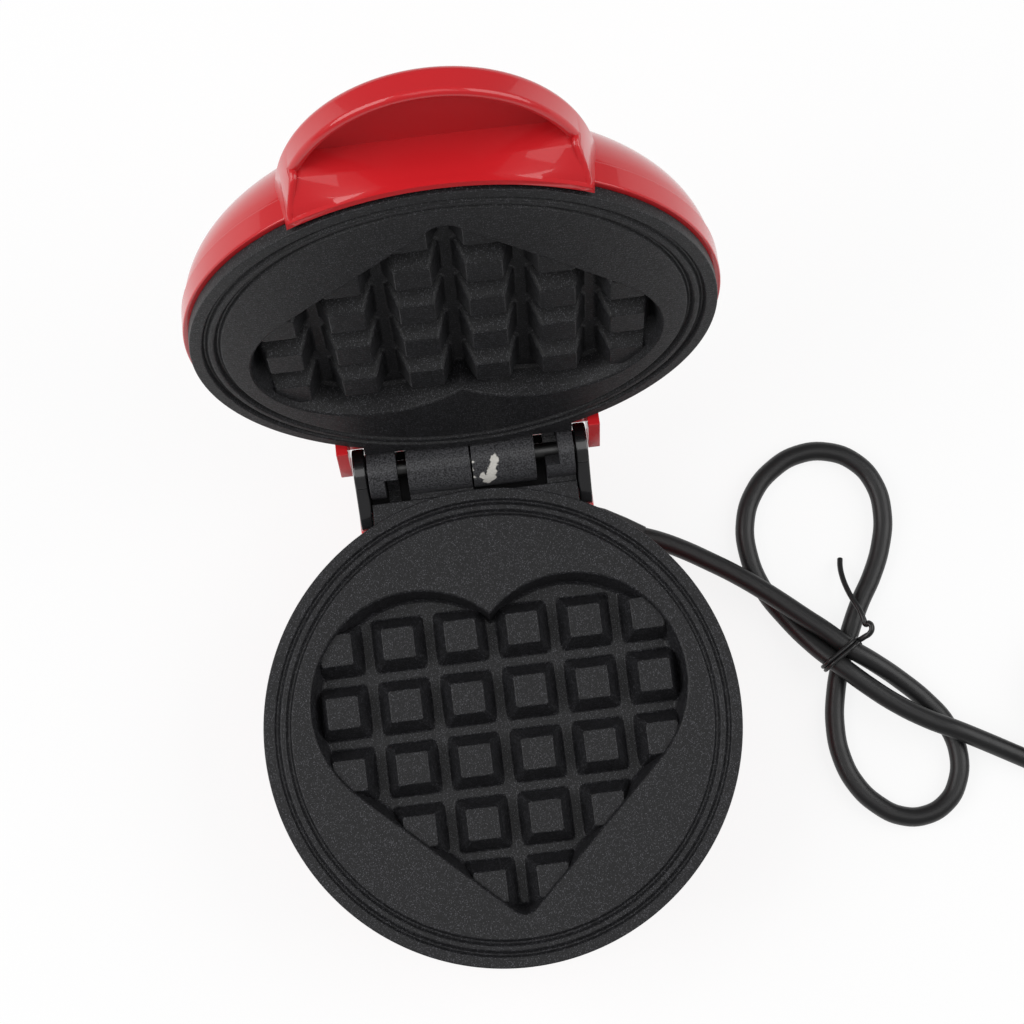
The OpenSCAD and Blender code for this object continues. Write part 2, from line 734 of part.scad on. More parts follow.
// Moulded gland: a collar each side of the wall, then a tapered sleeve
module strain_relief() color(black) {
    wall_x = rear_half - wall;
    translate([0, plate_y + gland_y, mate_h - gland_z]) rotate([0, 90, 0]) {
        translate([0, 0, wall_x - 1.5]) cylinder(h = 1.5, r = gland_r + collar);
        translate([0, 0, wall_x]) cylinder(h = wall, r = gland_r);
        translate([0, 0, rear_half]) cylinder(h = 2.5, r = gland_r + collar);
    }
    tube(relief_path, relief_radii, 12);
}

module cord() color(rubber) tube(cord_path, cord_d / 2);

// Band round the two strands that lie side by side on the third, with its loose end
module cord_tie() color(black) {
    band = 0.5;
    low = cord_d + 0.05;
    half = cord_d + band + 0.2;
    high = cord_d + 2 * band + 0.1;
    translate([tie_at[0], tie_at[1], low]) rotate([0, 0, tie_turn]) rotate([90, 0, 90])
        translate([0, 0, -1.2]) linear_extrude(2.4) difference() {
            tie_oval(half, high, 0);
            tie_oval(half, high, band);
        }
    tube(tie_tail, 0.8, 6);
}
module tie_oval(half, high, inset) {
    r = high / 2 - inset;
    polygon([for (s = [-1, 1], i = [-5:5]) let (a = 90 - 90 * s + 90 * i / 5)
        [s * (half - high / 2) + r * cos(a), high / 2 + r * sin(a)]]);
}

// Envelope of the wound length, two turns wide and two high
module cord_coil() color(rubber) translate([coil_at[0], coil_at[1], 0])
    rotate_extrude($fn = 96) {
        inner = coil_r - cord_d;
        top = coil_rings * cord_d;
        corner = cord_d / 2;
        polygon(concat(
            [for (i = [0:4]) let (a = 180 + 22.5 * i)
                [inner + corner + corner * cos(a), corner + corner * sin(a)]],
            [for (i = [0:4]) let (a = -90 + 22.5 * i)
                [inner + 2 * cord_d - corner + corner * cos(a), corner + corner * sin(a)]],
            [for (i = [0:4]) let (a = 22.5 * i)
                [inner + 2 * cord_d - corner + corner * cos(a), top - corner + corner * sin(a)]],
            [for (i = [0:4]) let (a = 90 + 22.5 * i)
                [inner + corner + corner * cos(a), top - corner + corner * sin(a)]]));
    }

// Strap closed round the coil at its far side
module coil_tie() color(black) translate([coil_at[0], coil_at[1] - coil_r, 0])
    rotate([90, 0, 90]) translate([0, 0, -2]) linear_extrude(4) difference() {
        square_round(2 * cord_d + 2.4, coil_rings * cord_d + 1.2, 2.6);
        translate([0, 0.05]) square_round(2 * cord_d + 0.6, coil_rings * cord_d + 0.3, 2.2);
    }
module square_round(w, h, r) {
    polygon([for (c = [[1, 1], [0, 1], [0, 0], [1, 0]], i = [0:3])
        let (a = (c[0] > 0 ? (c[1] > 0 ? 0 : 270) : (c[1] > 0 ? 90 : 180)) + 30 * i)
        [(c[0] - 0.5) * (w - 2 * r) + r * cos(a), r + c[1] * (h - 2 * r) + r * sin(a)]]);
}

module cord_tail() color(rubber)
    tube([[plug_at[0], plug_at[1] - 10, plug_z], [plug_at[0], plug_at[1] - 5, plug_z],
        [plug_at[0], plug_at[1], plug_z]], cord_d / 2);

// Flat two-blade plug, lying on its side
function plug_ring(y, w, h) =
    [for (k = [0:15]) let (a = 22.5 * k, p = 0.6)
        [plug_at[0] + w / 2 * sign(cos(a)) * pow(abs(cos(a)), p), plug_at[1] + y,
         plug_z + h / 2 * sign(sin(a)) * pow(abs(sin(a)), p)]];
module plug_body() color(black)
    skin([plug_ring(0, 6, 6), plug_ring(6, 8, 8), plug_ring(12, 20, 12), plug_ring(16, 24, 13.6),
        plug_ring(plug_len - 1, 25, 14), plug_ring(plug_len, 24, 13)]);
module plug_blades() color(steel) for (s = [-1, 1])
    translate([plug_at[0] + s * blade_pitch / 2 - blade_t / 2, plug_at[1] + plug_len,
        plug_z - blade_w / 2]) cube([blade_t, blade_len, blade_w]);

base_shell();
lower_plate();
lower_element();
lower_reflector();
plate_screws();
thermostat();
thermostat_clip();
thermal_fuse();
terminal_block();
base_leads();
foot_front_left();
foot_front_right();
foot_rear_left();
foot_rear_right();
hinge_saddle();
hinge_cheek_left();
hinge_cheek_right();
hinge_pin();
strain_relief();
cord();
cord_tie();
cord_coil();
coil_tie();
cord_tail();
plug_body();
plug_blades();
lid_shell();
handle();
upper_plate();
upper_element();
upper_reflector();
reflector_screws();
indicator_lens();
indicator_board();
lid_leads();
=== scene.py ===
from contextlib import contextmanager
import json
import math
import bpy
import bmesh
from mathutils import Matrix, Vector


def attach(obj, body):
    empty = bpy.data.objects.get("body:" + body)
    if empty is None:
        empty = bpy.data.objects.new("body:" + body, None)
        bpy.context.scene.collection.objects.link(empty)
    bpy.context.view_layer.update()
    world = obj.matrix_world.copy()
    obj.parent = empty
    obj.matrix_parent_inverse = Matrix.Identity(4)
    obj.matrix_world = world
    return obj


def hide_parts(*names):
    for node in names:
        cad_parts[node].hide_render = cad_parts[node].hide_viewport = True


MM = 0.001
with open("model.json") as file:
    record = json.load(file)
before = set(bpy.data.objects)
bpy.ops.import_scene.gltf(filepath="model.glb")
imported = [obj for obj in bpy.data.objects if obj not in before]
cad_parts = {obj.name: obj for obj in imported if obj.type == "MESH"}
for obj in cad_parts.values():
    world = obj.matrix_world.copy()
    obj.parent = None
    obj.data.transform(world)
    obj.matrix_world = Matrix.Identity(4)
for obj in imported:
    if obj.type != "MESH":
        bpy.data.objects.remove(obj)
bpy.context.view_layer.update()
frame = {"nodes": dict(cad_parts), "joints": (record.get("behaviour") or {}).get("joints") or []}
nodes = frame["nodes"]
joint = frame["joints"][0]
HINGE = Vector(joint["pos_m"])
OPEN = math.radians(joint["range_deg"][1])

# Sizes below are millimetres and agree with the part's source. Each half is drawn closed: its
# plate's middle is on the Z axis, the mating plane at z = 0 and the hinge at y = HINGE_BACK.
HINGE_BACK, KNUCKLE_R = 67.6, 7.1
PLATE_Y = HINGE.y / MM - HINGE_BACK
MATE = HINGE.z / MM


def link_object(name, data):
    obj = bpy.data.objects.new(name, data)
    bpy.context.scene.collection.objects.link(obj)
    return obj


# ---------------------------------------------------------------- camera
# Fitted to the photograph: the focal length in its pixels, the turns about X, Y and Z, and
# where the middle of the lower plate's mating plane lies, seen from the camera
PICTURE, SENSOR = 1024, 36
FOCAL = 2291.97
TURN_X, TURN_Y, TURN_Z = -0.1282486, 0.0169289, 0.1221533
PLATE_SEEN = Vector((-2.20327, -53.20864, -572.95641))


def set_camera():
    turn = (Matrix.Rotation(TURN_Z, 3, "Z") @ Matrix.Rotation(TURN_Y, 3, "Y")
            @ Matrix.Rotation(TURN_X, 3, "X"))
    back = turn.transposed()
    spot = (-(back @ PLATE_SEEN) + Vector((0, PLATE_Y, MATE))) * MM
    data = bpy.data.cameras.new("camera")
    data.sensor_width = SENSOR
    data.lens = FOCAL / PICTURE * SENSOR
    data.clip_start = 0.01
    data.clip_end = 20
    camera = link_object("camera", data)
    camera.matrix_world = Matrix.Translation(spot) @ back.to_4x4()
    bpy.context.scene.camera = camera


set_camera()


# ---------------------------------------------------------------- materials
class Mat:
    """A node material on one Principled shader, with helpers for its inputs."""

    def __init__(self, name, color, rough=0.5, metal=0.0, coat=0.0, coat_rough=0.05, spec=0.5):
        self.mat = bpy.data.materials.new(name)
        self.mat.use_nodes = True
        self.tree = self.mat.node_tree
        self.bsdf = self.tree.nodes["Principled BSDF"]
        self.set("Base Color", (*color, 1))
        self.set("Roughness", rough)
        self.set("Metallic", metal)
        self.set("Coat Weight", coat)
        self.set("Coat Roughness", coat_rough)
        self.set("Specular IOR Level", spec)
        self.coord = self.node("ShaderNodeTexCoord").outputs["Object"]

    def node(self, kind, **values):
        n = self.tree.nodes.new(kind)
        for key, value in values.items():
            setattr(n, key, value)
        return n

    def link(self, a, b):
        self.tree.links.new(a, b)

    def set(self, name, value):
        self.bsdf.inputs[name].default_value = value

    def noise(self, scale, detail=3, rough=0.5, output="Fac"):
        n = self.node("ShaderNodeTexNoise")
        n.inputs["Scale"].default_value = scale
        n.inputs["Detail"].default_value = detail
        n.inputs["Roughness"].default_value = rough
        self.link(self.coord, n.inputs["Vector"])
        return n.outputs[output]

    def cells(self, scale):
        n = self.node("ShaderNodeTexVoronoi")
        n.inputs["Scale"].default_value = scale
        self.link(self.coord, n.inputs["Vector"])
        return n

    def ramp(self, fac, stops):
        n = self.node("ShaderNodeValToRGB")
        while len(n.color_ramp.elements) < len(stops):
            n.color_ramp.elements.new(0.5)
        for e, (at, col) in zip(n.color_ramp.elements, stops):
            e.position = at
            e.color = (*col, 1) if isinstance(col, tuple) else (col, col, col, 1)
        self.link(fac, n.inputs["Fac"])
        return n.outputs["Color"]

    def mix(self, fac, a, b):
        """Blend of two colours, each a tuple or a socket."""
        n = self.node("ShaderNodeMix", data_type="RGBA")
        factor, first, second = 0, 6, 7
        for index, value in ((factor, fac), (first, a), (second, b)):
            if isinstance(value, bpy.types.NodeSocket):
                self.link(value, n.inputs[index])
            else:
                n.inputs[index].default_value = (*value, 1)
        return n.outputs[2]

    def range(self, fac, low, high, start=0, end=1):
        n = self.node("ShaderNodeMapRange")
        n.inputs["From Min"].default_value = start
        n.inputs["From Max"].default_value = end
        n.inputs["To Min"].default_value = low
        n.inputs["To Max"].default_value = high
        self.link(fac, n.inputs["Value"])
        return n.outputs["Result"]

    def near(self, spots, edge, jitter=0.0, grain=520, along=(1, 1, 1)):
        """1 within each (x, y, z, radius) spot, in metres, fading to 0 over an edge."""
        scaled = self.node("ShaderNodeVectorMath", operation="MULTIPLY")
        scaled.inputs[1].default_value = along
        self.link(self.coord, scaled.inputs[0])
        place = scaled.outputs[0]
        if jitter:
            shift = self.node("ShaderNodeVectorMath", operation="MULTIPLY_ADD")
            shift.inputs[1].default_value = (jitter, jitter, jitter)
            self.link(self.noise(grain, 2, output="Color"), shift.inputs[0])
            self.link(place, shift.inputs[2])
            place = shift.outputs[0]
        total = None
        for x, y, z, r in spots:
            gap = self.node("ShaderNodeVectorMath", operation="DISTANCE")
            gap.inputs[1].default_value = (x + jitter / 2, y + jitter / 2, z + jitter / 2)
            self.link(place, gap.inputs[0])
            inside = self.range(gap.outputs["Value"], 1, 0, r, r + edge)
            if total is None:
                total = inside
                continue
            top = self.node("ShaderNodeMath", operation="MAXIMUM")
            self.link(total, top.inputs[0])
            self.link(inside, top.inputs[1])
            total = top.outputs[0]
        return total

    def bump(self, height, distance, strength=1.0, under=None):
        n = self.node("ShaderNodeBump")
        n.inputs["Strength"].default_value = strength
        n.inputs["Distance"].default_value = distance
        self.link(height, n.inputs["Height"])
        if under is not None:
            self.link(under, n.inputs["Normal"])
        return n.outputs["Normal"]

    def to(self, socket, name):
        self.link(socket, self.bsdf.inputs[name])


def red_gloss():
    m = Mat("red_gloss", (0.50, 0.013, 0.018), rough=0.30, coat=0.6, coat_rough=0.04, spec=0.2)
    m.to(m.mix(m.noise(35, 2), (0.52, 0.014, 0.019), (0.47, 0.011, 0.015)), "Base Color")
    m.to(m.range(m.noise(60, 2), 0.27, 0.34), "Roughness")
    m.to(m.bump(m.noise(420, 2), 0.00002, 0.25), "Normal")
    return m.mat


# Bare metal where the coating has chipped off the right centre knuckle: x, y, z and radius
CHIP = [(6.0, 32.4, 42.9, 0.8), (5.5, 31.0, 42.4, 1.0), (5.0, 29.6, 41.5, 1.1),
        (4.5, 28.3, 40.1, 1.2), (2.7, 28.6, 40.5, 0.9), (3.5, 27.7, 39.0, 1.0),
        (0.4, 28.9, 40.8, 0.25), (0.4, 30.5, 42.1, 0.25), (0.4, 32.0, 42.8, 0.25)]


def plate_coating():
    """Black coating with fine grain and pale flakes; glossier on the knuckles, where a lighter
    colour is painted on as sheen.
    """
    m = Mat("plate_coating", (0.010, 0.010, 0.0105), rough=0.44, spec=0.25)
    flake = m.cells(3600)
    dots = m.ramp(flake.outputs["Distance"], [(0.22, 1.0), (0.50, 0.0)])
    seen = m.ramp(flake.outputs["Color"], [(0.42, 0.0), (0.86, 1.0)])
    flakes = m.mix(seen, (0.0, 0.0, 0.0), dots)
    grain = m.mix(m.noise(2600, 3, 0.7), (0.0025, 0.0025, 0.003), (0.013, 0.013, 0.0142))
    color = m.mix(flakes, grain, (0.088, 0.088, 0.098))
    # Knuckles: a lower roughness for their real gloss, and a lighter colour that is a painted sheen
    axis = (0, HINGE.y, HINGE.z, (KNUCKLE_R + 0.15) * MM)
    knuckle = m.near([axis], 0.4 * MM, along=(0, 1, 1))
    painted_sheen = m.ramp(m.noise(2600, 2), [(0.36, (0.013, 0.013, 0.014)), (0.68, (0.066, 0.066, 0.071))])
    color = m.mix(knuckle, color, painted_sheen)
    chip = m.near([tuple(c * MM for c in spot) for spot in CHIP], 0.25 * MM, jitter=2.2 * MM)
    bare = m.mix(m.noise(1600, 3), (0.40, 0.39, 0.36), (0.62, 0.60, 0.56))
    m.to(m.mix(chip, color, bare), "Base Color")
    rough = m.range(m.noise(900, 2), 0.38, 0.56)
    m.to(m.mix(knuckle, rough, (0.30, 0.30, 0.30)), "Roughness")
    fine = m.bump(m.noise(1900, 3, 0.6), 0.00014, 0.6)
    m.to(m.bump(m.noise(300, 2), 0.0002, 0.25, fine), "Normal")
    return m.mat


def plain(name, color, rough, metal=0.0, coat=0.0, grain=600, depth=0.00004, spread=0.15,
          vary=0.8, spec=0.5):
    """A material with a fine grain, and a colour and gloss that vary a little."""
    m = Mat(name, color, rough=rough, metal=metal, coat=coat, spec=spec)
    dim = tuple(c * vary for c in color)
    m.to(m.mix(m.noise(grain / 12, 3), color, dim), "Base Color")
    m.to(m.range(m.noise(grain / 4, 2), rough * (1 - spread), rough * (1 + spread)), "Roughness")
    m.to(m.bump(m.noise(grain, 3), depth, 0.5), "Normal")
    return m.mat


RED = red_gloss()
PLATE = plate_coating()
SADDLE = plain("saddle_black", (0.008, 0.008, 0.0085), 0.55, grain=500, depth=0.00002, spec=0.15)
BLACK_GLOSS = plain("black_gloss", (0.012, 0.012, 0.013), 0.18, coat=0.5, grain=300, depth=0.00001)
RUBBER = plain("rubber", (0.014, 0.014, 0.0145), 0.55, grain=1400, spec=0.35)
CORD = plain("cord_jacket", (0.010, 0.010, 0.0105), 0.40, grain=900, depth=0.00005, spec=0.35)
TIE = plain("tie_band", (0.009, 0.009, 0.0095), 0.36, grain=900, spec=0.4)
PLUG = plain("plug_shell", (0.020, 0.020, 0.021), 0.45, grain=1500, depth=0.00006)
PIN = plain("hinge_pin_steel", (0.10, 0.10, 0.10), 0.42, metal=1.0, grain=900, depth=0.00001)
STEEL = plain("bright_steel", (0.62, 0.62, 0.64), 0.30, metal=1.0, grain=900, depth=0.00001)
SHEATH = plain("sheath", (0.30, 0.29, 0.28), 0.42, metal=1.0, grain=700, vary=0.6)
PAN = plain("pan", (0.75, 0.75, 0.76), 0.28, metal=1.0, grain=400, depth=0.00001)
CERAMIC = plain("ceramic", (0.72, 0.69, 0.62), 0.6, grain=1200)
FUSE = plain("fuse_case", (0.66, 0.63, 0.55), 0.35, metal=1.0)
WIRE = plain("wire", (0.42, 0.40, 0.36), 0.7, grain=2600, depth=0.0001)
BRASS = plain("brass_blade", (0.72, 0.60, 0.34), 0.28, metal=1.0, grain=700, depth=0.00001)
LENS = plain("lens", (0.75, 0.16, 0.03), 0.12, coat=0.6, grain=300, depth=0.00001)
BOARD = plain("board", (0.30, 0.24, 0.09), 0.55, grain=1300)

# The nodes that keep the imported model's shape, by material
FINISH = {
    RUBBER: ["foot_front_left", "foot_front_right", "foot_rear_left", "foot_rear_right",
             "strain_relief"],
    TIE: ["coil_tie"],
    PLUG: ["plug_body"],
    BRASS: ["plug_blades"],
    PIN: ["hinge_pin"],
    STEEL: ["plate_screws", "reflector_screws", "thermostat_clip"],
    SHEATH: ["lower_element", "upper_element"],
    PAN: ["lower_reflector", "upper_reflector"],
    CERAMIC: ["thermostat", "terminal_block"],
    FUSE: ["thermal_fuse"],
    WIRE: ["base_leads", "lid_leads"],
    LENS: ["indicator_lens"],
    BOARD: ["indicator_board"],
}


def paint(obj, mat):
    obj.data.materials.clear()
    obj.data.materials.append(mat)


for finish, names in FINISH.items():
    for name in names:
        paint(nodes[name], finish)


# ---------------------------------------------------------------- solids, drawn in millimetres
@contextmanager
def editing(mesh):
    """The mesh as a bmesh, written back at the end."""
    bm = bmesh.new()
    bm.from_mesh(mesh)
    yield bm
    bm.to_mesh(mesh)
    bm.free()


def mesh_object(name, verts, faces):
    mesh = bpy.data.meshes.new(name)
    mesh.from_pydata([tuple(v) for v in verts], [], faces)
    with editing(mesh) as bm:
        bmesh.ops.recalc_face_normals(bm, faces=bm.faces)
    return link_object(name, mesh)


def lathe(name, profile, steps=160):
    """Turned solid from a closed profile of (radius, height); it may touch the axis."""
    verts, rows = [], []
    for r, z in profile:
        if r < 1e-6:
            rows.append([len(verts)] * steps)
            verts.append((0, 0, z))
        else:
            rows.append([len(verts) + k for k in range(steps)])
            verts += [(r * math.cos(math.tau * k / steps), r * math.sin(math.tau * k / steps), z)
                      for k in range(steps)]
    faces = []
    for a, b in zip(rows, rows[1:] + rows[:1]):
        if a[0] == a[1] and b[0] == b[1]:
            continue
        for k in range(steps):
            n = (k + 1) % steps
            faces.append(list(dict.fromkeys([a[k], a[n], b[n], b[k]])))
    return mesh_object(name, verts, faces)


def skin(name, rings):
    """Solid over closed rings of points, one after another, with flat ends."""
    n = len(rings[0])
    verts = [v for ring in rings for v in ring]
    faces = [list(range(n)), list(range(len(verts) - n, len(verts)))]
    for i in range(len(rings) - 1):
        faces += [[i * n + k, i * n + (k + 1) % n, (i + 1) * n + (k + 1) % n, (i + 1) * n + k]
                  for k in range(n)]
    return mesh_object(name, verts, faces)


def slab(name, outline, low, high, axis="Z"):
    """Prism along an axis, over a closed outline in the other two."""
    n = len(outline)
    if axis == "Z":
        verts = [(x, y, h) for h in (low, high) for x, y in outline]
    elif axis == "X":
        verts = [(h, y, z) for h in (low, high) for y, z in outline]
    else:
        verts = [(x, h, z) for h in (low, high) for x, z in outline]
    faces = [list(range(n)), list(range(2 * n - 1, n - 1, -1))]
    faces += [[k, (k + 1) % n, n + (k + 1) % n, n + k] for k in range(n)]
    return mesh_object(name, verts, faces)


def box(name, low, high):
    outline = [(low[0], low[1]), (high[0], low[1]), (high[0], high[1]), (low[0], high[1])]
    return slab(name, outline, low[2], high[2])


def rod(name, at, radius, low, high, axis="Z", steps=48):
    ring = [(at[0] + radius * math.cos(math.tau * k / steps),
             at[1] + radius * math.sin(math.tau * k / steps)) for k in range(steps)]
    return slab(name, ring, low, high, axis)


def arc(y, z, r, start, end, n=8):
    """Points about (y, z) from one angle to another, in degrees."""
    turns = [math.radians(start + (end - start) * k / n) for k in range(n + 1)]
    return [(y + r * math.cos(a), z + r * math.sin(a)) for a in turns]


def rounded(points, r, n=4, blunt=25):
    """A closed outline with its sharp corners turned; a corner on a lathe's axis stays."""
    out = []
    for k, p in enumerate(points):
        before, after = points[k - 1], points[(k + 1) % len(points)]
        p, before, after = Vector(p), Vector(before), Vector(after)
        a, b = before - p, after - p
        on_axis = p[0] < 1e-6 and (before[0] < 1e-6 or after[0] < 1e-6)
        if on_axis or (-a).angle(b) < math.radians(blunt):
            out.append(tuple(p))
            continue
        a *= min(r, a.length * 0.48) / a.length
        b *= min(r, b.length * 0.48) / b.length
        out += [tuple(p + a * (1 - i / n) ** 2 + b * (i / n) ** 2) for i in range(n + 1)]
    return out


def curve_object(name, points, radius, fineness):
    """Round bar along a smooth path, as a curve in metres; it has 4 + 2 * fineness sides."""
    data = bpy.data.curves.new(name, "CURVE")
    data.dimensions = "3D"
    data.bevel_depth = radius * MM
    data.bevel_resolution = fineness
    data.use_fill_caps = True
    data.resolution_u = 6
    spline = data.splines.new("BEZIER")
    spline.bezier_points.add(len(points) - 1)
    for bend, p in zip(spline.bezier_points, points):
        bend.co = Vector(p) * MM
        bend.handle_left_type = bend.handle_right_type = "AUTO"
    return link_object(name, data)


def evaluated(obj):
    """A new mesh of what the object's curve or modifiers give."""
    deps = bpy.context.evaluated_depsgraph_get()
    return bpy.data.meshes.new_from_object(obj.evaluated_get(deps))


def tube(name, points, radius):
    """Round bar along a path, as a closed mesh in millimetres."""
    curve = curve_object(name, points, radius, fineness=4)
    mesh = evaluated(curve)
    bpy.data.objects.remove(curve)
    bar = link_object(name, mesh)
    mesh.transform(Matrix.Diagonal((1 / MM, 1 / MM, 1 / MM, 1)))
    with editing(mesh) as bm:
        bmesh.ops.remove_doubles(bm, verts=bm.verts, dist=0.001)
        bmesh.ops.recalc_face_normals(bm, faces=bm.faces)
    return bar


def settle(obj):
    """Replaces an object's mesh by the result of its modifiers."""
    mesh = evaluated(obj)
    obj.modifiers.clear()
    obj.data = mesh
    return obj


def carve(obj, *steps):
    """Applies ("UNION" or "DIFFERENCE", tool) pairs one after another."""
    for operation, tool in steps:
        mod = obj.modifiers.new(operation, "BOOLEAN")
        mod.operation = operation
        mod.object = tool
        mod.solver = "EXACT"
    settle(obj)
    for _, tool in steps:
        bpy.data.objects.remove(tool)
    return obj


def bevelled(obj, width, angle=35, miter="MITER_SHARP"):
    """Rounds the edges that turn by more than an angle."""
    mod = obj.modifiers.new("bevel", "BEVEL")
    mod.width = width
    mod.segments = 3
    mod.limit_method = "ANGLE"
    mod.angle_limit = math.radians(angle)
    mod.miter_outer = miter
    return settle(obj)


def finish_mesh(obj, smooth=38, flats=True):
    """Smooth shading that keeps the sharp edges and, if asked, the flats flat."""
    with editing(obj.data) as bm:
        bmesh.ops.remove_doubles(bm, verts=bm.verts, dist=0.003)
    for face in obj.data.polygons:
        face.use_smooth = True
    obj.data.set_sharp_from_angle(angle=math.radians(smooth))
    if flats:
        mod = obj.modifiers.new("normals", "WEIGHTED_NORMAL")
        mod.keep_sharp = True
        mod.weight = 90
        settle(obj)
    return obj


def dress(obj, matrix, mat, body, slot, *replaced):
    """Sets a piece drawn in millimetres into the frame, in place of its nodes."""
    obj.data.transform(Matrix.Diagonal((MM, MM, MM, 1)) @ matrix)
    if matrix.determinant() < 0:
        obj.data.flip_normals()
    paint(obj, mat)
    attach(obj, body)
    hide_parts(*replaced)
    return obj


# From the closed drawing into the frame. The base's shell is drawn the lid's way up, and
# mirrored about the mating plane.
ON_BASE = Matrix.Translation((0, PLATE_Y, MATE))
IN_BASE = ON_BASE @ Matrix.Diagonal((1, 1, -1, 1))
IN_LID = (Matrix.Translation((0, PLATE_Y + HINGE_BACK, MATE)) @ Matrix.Rotation(-OPEN, 4, "X")
          @ Matrix.Translation((0, -HINGE_BACK, 0)))


# ---------------------------------------------------------------- shells
PLATE_R, LIP_Z, BAND_Z, STEP, WALL = 60, 3.5, 9, 0.7, 2.2
BASE_R, SOLE_R, BASE_DEPTH = PLATE_R - 0.4, 43, MATE - 4
LID_R, CROWN_R, CROWN_H = PLATE_R + 1.2, 18, 34
BLOCK_ROOT = PLATE_R - 10

# The lid's block with its two ears, outside the cheeks
EAR_IN, EAR_OUT, EAR_FRONT, EAR_BACK = 30.1, 33.0, PLATE_R - 6, HINGE_BACK + 0.5
EAR_DROP, EAR_ROUND = 1, 1.5
BLOCK_BACK, BLOCK_ROOF, BLOCK_LOW = HINGE_BACK + 6.5, 14, 9.8
BLOCK_ROUND, BLOCK_WALL, BLOCK_SILL = 4, 2, 4.2

# The lens in the crown and the two posts of its board
LENS_Y, LENS_BORE = -30, 3.25
POST_X, POST_R, POST_LOW = 6.6, 1.8, 24

# The base's rear block: its sill, neck and shoulder levels, and its half width at the sole
SILL_Z, NECK_Z, SHOULDER_Z, REAR_HALF, REAR_BACK = 8.5, 13, 17, 25, HINGE_BACK + 6
SILL_HALF = 26.4
GLAND_AT, GLAND_BORE = (HINGE_BACK - 14.6, BASE_DEPTH - 6.2), 3.45

# The three bosses of a plate with their screws, and the feet with their stems
BOSS_AT, BOSS_ANGLES, BOSS_R, BOSS_Z = 45, (90, 215, 325), 4, 18.5
BOSSES = [(BOSS_AT * math.cos(math.radians(a)), BOSS_AT * math.sin(math.radians(a)))
          for a in BOSS_ANGLES]
SCREW_BORE, SINK_R, SINK_DEPTH = 1.55, 3.3, 4
FOOT_TURN, STEM_BORE = math.radians(47), 2.45
FRONT_FOOT = ((SOLE_R - 2) * math.cos(FOOT_TURN), -(SOLE_R - 2) * math.sin(FOOT_TURN))
REAR_FOOT = (17, HINGE_BACK - 5.6)
FEET = [(s * x, y) for x, y in (FRONT_FOOT, REAR_FOOT) for s in (-1, 1)]


def bowl_curve(r, flat_r, depth, steps=40):
    """Quarter oval from the band to the flat, as (radius, height)."""
    shoulder, rise = r - STEP, depth - BAND_Z
    return [(flat_r + (shoulder - flat_r) * math.cos(math.pi / 2 * k / steps),
             BAND_Z + rise * math.sin(math.pi / 2 * k / steps)) for k in range(steps + 1)]


def bowl(name, r, flat_r, depth):
    """Hollow bowl: lip, straight band, a small step, then a quarter oval to a flat."""
    outer = [(r, LIP_Z), (r, BAND_Z), (r - STEP, BAND_Z - 0.1)]
    outer += bowl_curve(r, flat_r, depth)[1:] + [(0, depth)]
    inner = [(r - WALL, LIP_Z)] + bowl_curve(r - WALL, flat_r, depth - WALL) + [(0, depth - WALL)]
    return lathe(name, rounded(outer + inner[::-1], 0.6))


def bowl_solid(name, r, flat_r, depth, low):
    return lathe(name, [(0, low), (r, low), (r, BAND_Z)] + bowl_curve(r, flat_r, depth)
                 + [(0, depth)])


def lid_shell():
    def gap():
        return box("gap", (-EAR_IN, BLOCK_ROOT, -3), (EAR_IN, EAR_BACK + 1, BLOCK_SILL))

    outline = [(EAR_FRONT, -EAR_DROP), (EAR_FRONT, LIP_Z), (BLOCK_ROOT, LIP_Z),
               (BLOCK_ROOT, BLOCK_ROOF)]
    outline += arc(BLOCK_BACK - BLOCK_ROUND, BLOCK_ROOF - BLOCK_ROUND, BLOCK_ROUND, 90, 0)
    outline += [(BLOCK_BACK, BLOCK_LOW), (EAR_BACK, BLOCK_LOW)]
    outline += arc(EAR_BACK - EAR_ROUND, EAR_ROUND - EAR_DROP, EAR_ROUND, 0, -90)
    block = bevelled(slab("block", outline, -EAR_OUT, EAR_OUT, "X"), 0.8)
    inside = bowl_solid("inside", LID_R - WALL, CROWN_R, CROWN_H - WALL, LIP_Z - 1)
    room = box("room", (-EAR_IN, BLOCK_ROOT + WALL, -3),
               (EAR_IN, BLOCK_BACK - BLOCK_WALL, BLOCK_ROOF - BLOCK_WALL))
    carve(block, ("DIFFERENCE", inside), ("DIFFERENCE", room), ("DIFFERENCE", gap()))
    shell = bowl("lid_shell_form", LID_R, CROWN_R, CROWN_H)
    carve(shell, ("UNION", block), ("DIFFERENCE", gap()),
          ("DIFFERENCE", rod("bore", (0, LENS_Y), LENS_BORE, CROWN_H - 12, CROWN_H + 2)))
    for side in (-1, 1):
        post = rod("post", (side * POST_X, LENS_Y), POST_R, POST_LOW, CROWN_H - 2.2, steps=24)
        carve(shell, ("UNION", post))
    finish_mesh(shell)
    dress(shell, IN_LID, RED, "lid", "shell", "lid_shell")


